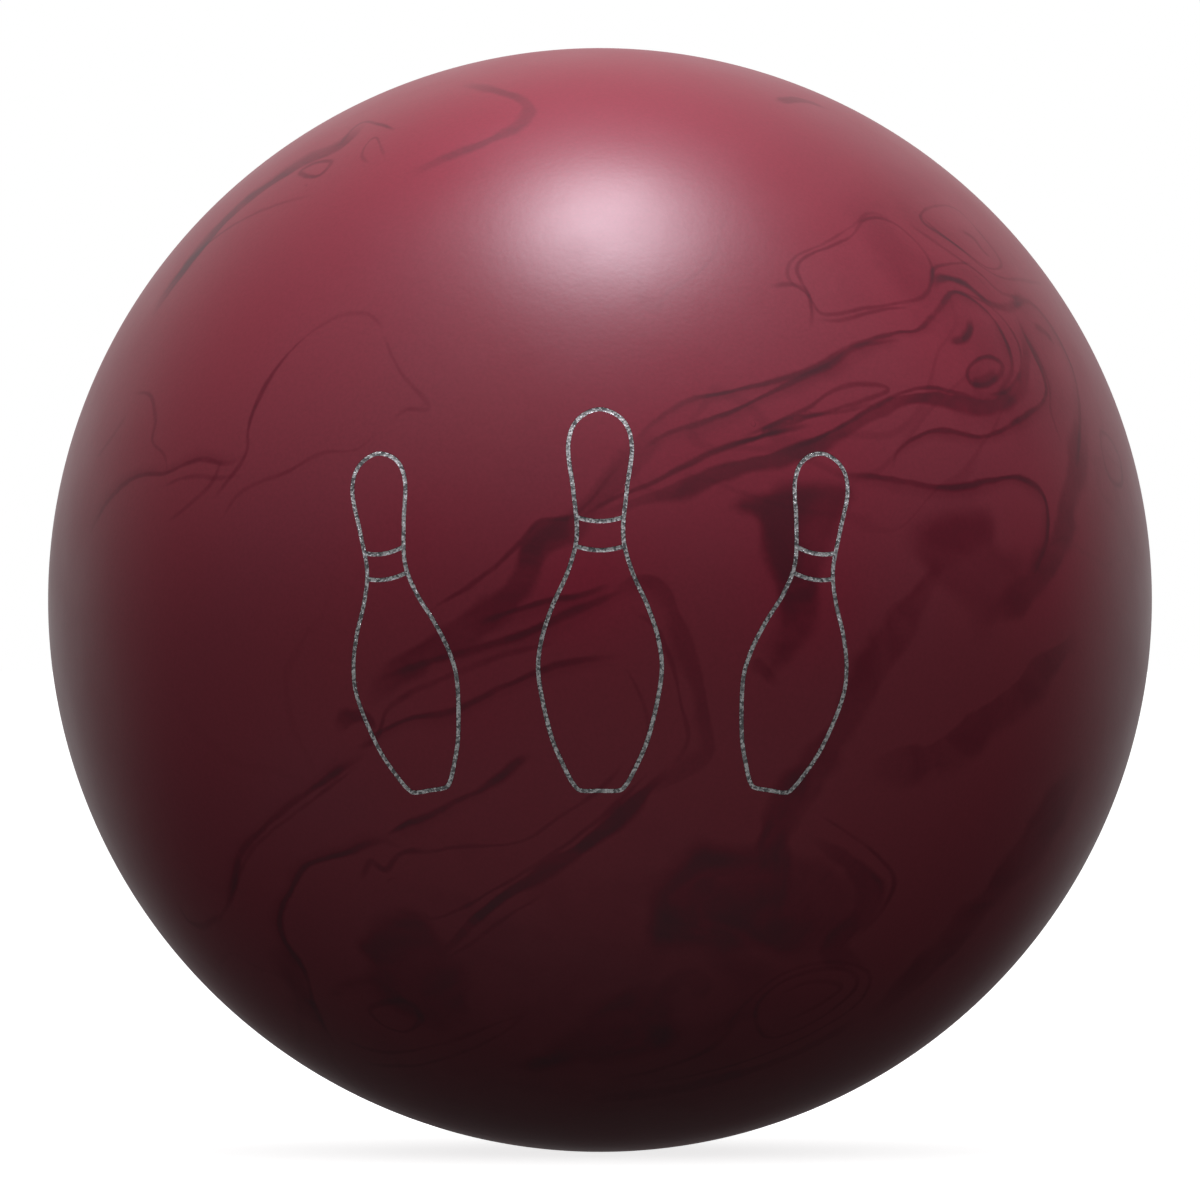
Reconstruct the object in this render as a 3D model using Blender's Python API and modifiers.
"""An undrilled bowling ball, as it leaves the factory.

Units are metres and +Z is up. The origin is the centre of the ball, +Z runs along
the axis of the weight block towards its locating pin, and the engraved emblem faces
-Y. From the outside in, the ball is a cast resin coverstock, a light outer core, and
a turned weight block with a dense puck under it. The pin runs from the top of the
block to the surface, and a small dot marks the direction of the centre of gravity.
The emblem is three bowling pins in outline, cut as round-bottomed grooves and filled.
"""

import math

import bmesh
import bpy
from mathutils import Vector

# Ball and coverstock
BALL_DIAMETER = 0.2172
COVER_WALL = 0.0190
FIT_GAP = 0.0003
FLUSH_GAP = 0.00005

# Weight block, its puck and where the two sit inside the ball
BLOCK_SHIFT = Vector((0.0, 0.0020, 0.0099))
BLOCK_STEM_RADIUS = 0.0215
BLOCK_TOP_Z = 0.0640
BLOCK_WAIST_Z = 0.0350
BLOCK_BELLY_RADIUS = 0.0560
BLOCK_BELLY_Z = -0.0040
BLOCK_BELLY_HEIGHT = 0.0200
BLOCK_FOOT_RADIUS = 0.0340
BLOCK_FOOT_Z = -0.0460
BLOCK_ROUNDING = 0.0070
PUCK_RADIUS = 0.0300
PUCK_HEIGHT = 0.0120
PUCK_ROUNDING = 0.0020

# Locating pin and the dot that marks the centre of gravity
PIN_RADIUS = 0.0033
MARK_DOT_RADIUS = 0.0015
MARK_DOT_DEPTH = 0.0010
MARK_DOT_ANGLE = math.radians(33.5)

# Emblem, measured along the ball's surface from the middle of its front
FILL_RADIUS = 0.00055
EMBLEM_BASE_Z = -0.0370
CENTRE_PIN_HEIGHT = 0.0740
SIDE_PIN_HEIGHT = 0.0660
SIDE_PIN_X = 0.0350
SIDE_PIN_LEAN = math.radians(9.0)
STRIPE_HEIGHTS = (0.640, 0.715)
STRIPE_SAG = 0.012
# Right-hand side of a bowling pin, base to crown, as (height, half width) shares of its height
PIN_SIDE = (
    (0.000, 0.045),
    (0.010, 0.066),
    (0.055, 0.092),
    (0.150, 0.130),
    (0.300, 0.159),
    (0.392, 0.152),
    (0.483, 0.123),
    (0.575, 0.082),
    (0.667, 0.060),
    (0.783, 0.070),
    (0.900, 0.085),
    (0.970, 0.062),
)

# Fineness of the meshes
COVER_SEGMENTS = 56
CORE_SEGMENTS = 40
SMALL_SEGMENTS = 24
CORNER_STEPS = 4
OUTLINE_STEPS = 2
STRIPE_STEPS = 4
TUBE_RESOLUTION = 1
MERGE_DISTANCE = 0.00001
SMOOTH_ANGLE = math.radians(35)
STRAIGHT_ANGLE = math.radians(89)

BALL_RADIUS = BALL_DIAMETER / 2
CAVITY_RADIUS = BALL_RADIUS - COVER_WALL
OUTER_CORE_RADIUS = CAVITY_RADIUS - FIT_GAP


def clear_scene():
    for obj in list(bpy.data.objects):
        bpy.data.objects.remove(obj, do_unlink=True)


def new_collection(name):
    collection = bpy.data.collections.new(name)
    bpy.context.scene.collection.children.link(collection)
    return collection


def plain_material(name, colour, roughness, metallic=0.0):
    """A Principled BSDF material of one linear colour."""
    material = bpy.data.materials.new(name)
    material.use_nodes = True
    surface = material.node_tree.nodes["Principled BSDF"]
    surface.inputs["Base Color"].default_value = (*colour, 1.0)
    surface.inputs["Roughness"].default_value = roughness
    surface.inputs["Metallic"].default_value = metallic
    return material


def add_object(name, mesh, collection, location=(0, 0, 0)):
    obj = bpy.data.objects.new(name, mesh)
    obj.location = location
    collection.objects.link(obj)
    return obj


def add_piece(name, mesh, location=(0, 0, 0)):
    """A part of the ball, smooth but for its sharp corners, under the ball's own empty."""
    mesh.shade_smooth()
    mesh.set_sharp_from_angle(angle=SMOOTH_ANGLE)
    obj = add_object(name, mesh, PARTS, location)
    obj.parent = ROOT
    return obj


def add_cutter(name, mesh, location=(0, 0, 0)):
    obj = add_object(name, mesh, CUTTERS, location)
    obj.hide_render = True
    obj.display_type = "WIRE"
    return obj


def mesh_from(name, bm):
    mesh = bpy.data.meshes.new(name)
    bm.to_mesh(mesh)
    bm.free()
    return mesh


def sphere_mesh(name, radius, segments):
    bm = bmesh.new()
    bmesh.ops.create_uvsphere(bm, u_segments=segments, v_segments=segments // 2, radius=radius)
    return mesh_from(name, bm)


def cylinder_mesh(name, radius, height, segments=SMALL_SEGMENTS):
    """A closed cylinder that stands on its own origin."""
    bm = bmesh.new()
    bmesh.ops.create_cone(
        bm, cap_ends=True, segments=segments, radius1=radius, radius2=radius, depth=height
    )
    bmesh.ops.translate(bm, verts=bm.verts, vec=(0, 0, height / 2))
    return mesh_from(name, bm)


def boolean(obj, operation, other):
    modifier = obj.modifiers.new(f"{operation} {other.name}".title(), "BOOLEAN")
    modifier.operation = operation
    modifier.object = other


def bevel(obj, width):
    modifier = obj.modifiers.new("Bevel", "BEVEL")
    modifier.width = width
    modifier.segments = CORNER_STEPS
    modifier.limit_method = "ANGLE"


def corner_arc(before, corner, after, radius):
    """Points of the arc that rounds a profile's corner, or the corner itself if it is straight."""
    back = (before - corner).normalized()
    ahead = (after - corner).normalized()
    half_angle = back.angle(ahead) / 2
    if half_angle > STRAIGHT_ANGLE:
        return [corner]
    reach = radius / math.tan(half_angle)
    start = corner + back * reach
    end = corner + ahead * reach
    centre = corner + (back + ahead).normalized() * radius / math.sin(half_angle)
    middle = (start + end) / 2 - centre
    side = (end - start) / 2
    spread = math.atan2(side.length, middle.length)
    out = middle.normalized() * radius
    along = side.normalized() * radius
    angles = [spread * (2 * i / CORNER_STEPS - 1) for i in range(CORNER_STEPS + 1)]
    return [centre + out * math.cos(a) + along * math.sin(a) for a in angles]


def rounded_profile(points, radius):
    """A profile from axis to axis with each of its corners rounded, as (radius, height) pairs."""
    points = [Vector(p) for p in points]
    rounded = [points[0]]
    for before, corner, after in zip(points, points[1:], points[2:]):
        rounded += corner_arc(before, corner, after, radius)
    return rounded + [points[-1]]


def grown_profile(profile, by):
    """The same profile moved outwards by a distance, with its ends kept on the axis."""
    grown = [profile[0] + Vector((0, by))]
    for before, here, after in zip(profile, profile[1:], profile[2:]):
        along = ((here - before).normalized() + (after - here).normalized()).normalized()
        grown.append(here + Vector((-along.y, along.x)) * by)
    return grown + [profile[-1] - Vector((0, by))]


def turned(obj):
    """Turns an object's profile, which lies in its XZ plane, about its Z axis."""
    modifier = obj.modifiers.new("Screw", "SCREW")
    modifier.axis = "Z"
    modifier.steps = CORE_SEGMENTS
    modifier.render_steps = CORE_SEGMENTS
    modifier.use_merge_vertices = True
    modifier.merge_threshold = MERGE_DISTANCE
    modifier.use_smooth_shade = True


def profile_mesh(name, profile):
    bm = bmesh.new()
    verts = [bm.verts.new((x, 0, z)) for x, z in profile]
    for start, end in zip(verts, verts[1:]):
        bm.edges.new((start, end))
    return mesh_from(name, bm)


def block_profile():
    """The weight block from its top down: a stem that flares to a broad belly, then a foot."""
    corners = (
        (0, BLOCK_TOP_Z),
        (BLOCK_STEM_RADIUS, BLOCK_TOP_Z),
        (BLOCK_STEM_RADIUS, BLOCK_WAIST_Z),
        (BLOCK_BELLY_RADIUS, BLOCK_BELLY_Z + BLOCK_BELLY_HEIGHT / 2),
        (BLOCK_BELLY_RADIUS, BLOCK_BELLY_Z - BLOCK_BELLY_HEIGHT / 2),
        (BLOCK_FOOT_RADIUS, BLOCK_FOOT_Z),
        (0, BLOCK_FOOT_Z),
    )
    return rounded_profile(corners, BLOCK_ROUNDING)


def on_ball(x, z, radius):
    """The point of a sphere x across and z up from the middle of its front, along the surface."""
    across = x / BALL_RADIUS
    up = z / BALL_RADIUS
    return Vector((
        radius * math.cos(up) * math.sin(across),
        -radius * math.cos(up) * math.cos(across),
        radius * math.sin(up),
    ))


def smooth_loop(points, steps):
    """A closed Catmull-Rom curve through points."""
    count = len(points)
    loop = []
    for i in range(count):
        a, b, c, d = (Vector(points[(i + k) % count]) for k in (-1, 0, 1, 2))
        slope = (c - a) / 2
        bend = a - 2.5 * b + 2 * c - d / 2
        twist = 1.5 * (b - c) + (d - a) / 2
        for step in range(steps):
            t = step / steps
            loop.append(b + t * (slope + t * (bend + t * twist)))
    return loop


def pin_outline():
    """A whole bowling pin in outline, one unit high, as (across, up) pairs."""
    right = [(half_width, height) for height, half_width in PIN_SIDE]
    left = [(-across, up) for across, up in reversed(right)]
    return smooth_loop([(0, 0), *right, (0, 1), *left], OUTLINE_STEPS)


def half_width_at(height):
    """Half the width of a pin one unit high, at a height."""
    for (low, narrow), (high, wide) in zip(PIN_SIDE, PIN_SIDE[1:]):
        if low <= height <= high:
            return narrow + (wide - narrow) * (height - low) / (high - low)
    return 0.0


def neck_stripe(height):
    """A band round the pin's neck: a shallow arc from one side of the outline to the other."""
    half = half_width_at(height)
    across = [half * (2 * i / STRIPE_STEPS - 1) for i in range(STRIPE_STEPS + 1)]
    return [(x, height - STRIPE_SAG * (1 - (x / half) ** 2)) for x in across]


def placed(path, foot_x, pin_height, lean):
    """Points of a unit pin, moved to their place on the front of the ball."""
    spots = []
    for across, up in path:
        x = foot_x + pin_height * (across * math.cos(lean) + up * math.sin(lean))
        z = EMBLEM_BASE_Z + pin_height * (up * math.cos(lean) - across * math.sin(lean))
        spots.append(on_ball(x, z, BALL_RADIUS))
    return spots


def tube_mesh(name, path, radius, closed):
    """A round tube along a path, made as a curve and turned into a closed mesh."""
    curve = bpy.data.curves.new(name, "CURVE")
    curve.dimensions = "3D"
    curve.bevel_depth = radius
    curve.bevel_resolution = TUBE_RESOLUTION
    curve.use_fill_caps = not closed
    spline = curve.splines.new("POLY")
    spline.points.add(len(path) - 1)
    for point, spot in zip(spline.points, path):
        point.co = (*spot, 1.0)
    spline.use_cyclic_u = closed
    guide = add_object(f"{name} guide", curve, CUTTERS)
    bpy.context.view_layer.update()
    graph = bpy.context.evaluated_depsgraph_get()
    mesh = bpy.data.meshes.new_from_object(guide.evaluated_get(graph))
    bpy.data.objects.remove(guide)
    bm = bmesh.new()
    bm.from_mesh(mesh)
    bmesh.ops.remove_doubles(bm, verts=bm.verts, dist=MERGE_DISTANCE)
    bmesh.ops.recalc_face_normals(bm, faces=bm.faces)
    bm.to_mesh(mesh)
    bm.free()
    return mesh


def build_coverstock():
    """The cast resin shell. The pin's hole, the dot's dimple and the grooves are cut in later."""
    cover = add_piece("coverstock", sphere_mesh("coverstock", BALL_RADIUS, COVER_SEGMENTS))
    cavity = add_cutter("core cavity", sphere_mesh("core cavity", CAVITY_RADIUS, CORE_SEGMENTS))
    boolean(cover, "DIFFERENCE", cavity)
    cover.data.materials.append(plain_material("coverstock resin", (0.155, 0.013, 0.028), 0.42))
    return cover


def build_outer_core():
    """The light filler between the coverstock and the weight block."""
    core = add_piece("outer_core", sphere_mesh("outer_core", OUTER_CORE_RADIUS, CORE_SEGMENTS))
    block_space = add_cutter(
        "block cavity",
        profile_mesh("block cavity", grown_profile(block_profile(), FIT_GAP)),
        BLOCK_SHIFT,
    )
    turned(block_space)
    puck_space = add_cutter(
        "puck cavity",
        cylinder_mesh("puck cavity", PUCK_RADIUS + FIT_GAP, PUCK_HEIGHT * 2, CORE_SEGMENTS),
        BLOCK_SHIFT + Vector((0, 0, BLOCK_FOOT_Z - PUCK_HEIGHT - 2 * FIT_GAP)),
    )
    boolean(core, "DIFFERENCE", block_space)
    boolean(core, "DIFFERENCE", puck_space)
    core.data.materials.append(plain_material("outer core filler", (0.48, 0.42, 0.30), 0.75))
    return core


def build_weight_block():
    """The turned core that sets how the ball rolls, and the dense puck under it."""
    block = add_piece("weight_block", profile_mesh("weight_block", block_profile()), BLOCK_SHIFT)
    turned(block)
    block.data.materials.append(plain_material("weight block resin", (0.62, 0.34, 0.05), 0.50))
    puck = add_piece(
        "weight_block_puck",
        cylinder_mesh("weight_block_puck", PUCK_RADIUS, PUCK_HEIGHT, CORE_SEGMENTS),
        BLOCK_SHIFT + Vector((0, 0, BLOCK_FOOT_Z - PUCK_HEIGHT - FIT_GAP)),
    )
    bevel(puck, PUCK_ROUNDING)
    puck.data.materials.append(plain_material("dense puck resin", (0.035, 0.035, 0.040), 0.55))


def build_locating_pin(cover, core, surface):
    """The pin that holds the weight block in its mould, from the block's top to the surface."""
    foot = BLOCK_SHIFT + Vector((0, 0, BLOCK_TOP_Z + FIT_GAP))
    pin = add_piece("locating_pin", cylinder_mesh("locating_pin", PIN_RADIUS, BALL_RADIUS), foot)
    boolean(pin, "INTERSECT", surface)
    pin.data.materials.append(plain_material("locating pin resin", (0.52, 0.50, 0.46), 0.35))
    bore = add_cutter(
        "pin bore",
        cylinder_mesh("pin bore", PIN_RADIUS + FIT_GAP, BALL_RADIUS),
        foot - Vector((0, 0, BLOCK_ROUNDING)),
    )
    boolean(core, "DIFFERENCE", bore)
    boolean(cover, "DIFFERENCE", bore)


def build_gravity_dot(cover, surface):
    """The small filled dimple that marks which way the centre of gravity lies."""
    foot_radius = BALL_RADIUS - MARK_DOT_DEPTH
    turn = (-MARK_DOT_ANGLE, 0, 0)
    lean = Vector((0, math.sin(MARK_DOT_ANGLE), math.cos(MARK_DOT_ANGLE)))
    dot = add_piece(
        "gravity_centre_dot",
        cylinder_mesh("gravity_centre_dot", MARK_DOT_RADIUS, MARK_DOT_DEPTH * 2),
        lean * foot_radius,
    )
    dot.rotation_euler = turn
    boolean(dot, "INTERSECT", surface)
    dot.data.materials.append(plain_material("gravity dot fill", (0.60, 0.60, 0.58), 0.40))
    dimple = add_cutter(
        "dot dimple",
        cylinder_mesh("dot dimple", MARK_DOT_RADIUS + FIT_GAP, MARK_DOT_DEPTH * 3),
        lean * (foot_radius - FIT_GAP),
    )
    dimple.rotation_euler = turn
    boolean(cover, "DIFFERENCE", dimple)


def build_emblem_pin(side, foot_x, pin_height, lean, cover, surface, glitter):
    """One outlined bowling pin: its groove in the coverstock and the fill that lies in it."""
    outline = placed(pin_outline(), foot_x, pin_height, lean)
    stripes = [placed(neck_stripe(up), foot_x, pin_height, lean) for up in STRIPE_HEIGHTS]
    fill_name = f"emblem_fill_{side}"
    fill = add_piece(fill_name, tube_mesh(fill_name, outline, FILL_RADIUS, True))
    groove_name = f"groove {side}"
    groove_radius = FILL_RADIUS + FIT_GAP
    groove = add_cutter(groove_name, tube_mesh(groove_name, outline, groove_radius, True))
    for number, stripe in enumerate(stripes, 1):
        band_name = f"band {side} {number}"
        band = add_cutter(band_name, tube_mesh(band_name, stripe, FILL_RADIUS, False))
        boolean(fill, "UNION", band)
        wide_name = f"band groove {side} {number}"
        wide_band = add_cutter(wide_name, tube_mesh(wide_name, stripe, groove_radius, False))
        boolean(groove, "UNION", wide_band)
    boolean(fill, "INTERSECT", surface)
    boolean(cover, "DIFFERENCE", groove)
    fill.data.materials.append(glitter)


def build_emblem(cover, surface):
    glitter = plain_material("emblem glitter fill", (0.45, 0.46, 0.47), 0.35, 0.8)
    build_emblem_pin("left", -SIDE_PIN_X, SIDE_PIN_HEIGHT, -SIDE_PIN_LEAN, cover, surface, glitter)
    build_emblem_pin("centre", 0.0, CENTRE_PIN_HEIGHT, 0.0, cover, surface, glitter)
    build_emblem_pin("right", SIDE_PIN_X, SIDE_PIN_HEIGHT, SIDE_PIN_LEAN, cover, surface, glitter)


clear_scene()
PARTS = new_collection("bowling_ball")
CUTTERS = new_collection("bowling_ball_cutters")
ROOT = bpy.data.objects.new("bowling_ball", None)
PARTS.objects.link(ROOT)

coverstock = build_coverstock()
outer_core = build_outer_core()
build_weight_block()
ball_surface = add_cutter(
    "ball surface", sphere_mesh("ball surface", BALL_RADIUS - FLUSH_GAP, COVER_SEGMENTS)
)
build_locating_pin(coverstock, outer_core, ball_surface)
build_gravity_dot(coverstock, ball_surface)
build_emblem(coverstock, ball_surface)
